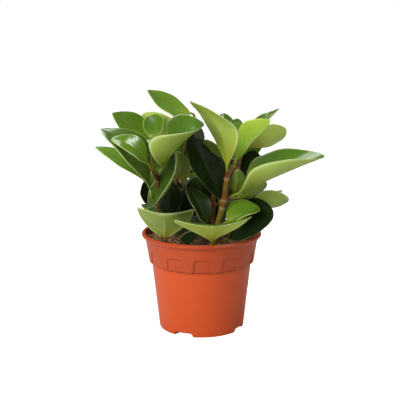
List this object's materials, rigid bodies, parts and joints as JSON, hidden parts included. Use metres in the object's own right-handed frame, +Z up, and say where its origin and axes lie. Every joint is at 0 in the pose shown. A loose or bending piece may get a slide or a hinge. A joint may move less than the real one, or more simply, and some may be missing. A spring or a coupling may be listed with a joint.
{
  "type": "potted peperomia",
  "caption": "Bushy potted peperomia with thick cupped oval leaves on upright branching stems, in a tapered terracotta-coloured plastic nursery pot filled with soil.",
  "frame": {"origin": "the middle of the pot's foot, on the surface that it stands on", "axes": "+Z is up along the pot's axis, +X is to the right as seen from the front, and -Y is the front, the side with the broadest leaves over the rim"},
  "size_m": [0.222, 0.2113, 0.2395],
  "materials": {
    "pot_plastic": "satin moulded terracotta-coloured polypropylene",
    "soil": "dark crumbly peat potting mix with brown fibres",
    "leaf": "smooth glossy fleshy leaf, dark green above and pale yellow-green below"
  },
  "bodies": {
    "root": {"pot": "pot_plastic", "soil": "soil", "stem_left": "leaf", "stem_right": "leaf", "stem_middle": "leaf", "stem_back": "leaf", "stem_rear": "leaf", "stem_far": "leaf"}
  },
  "joints": []
}
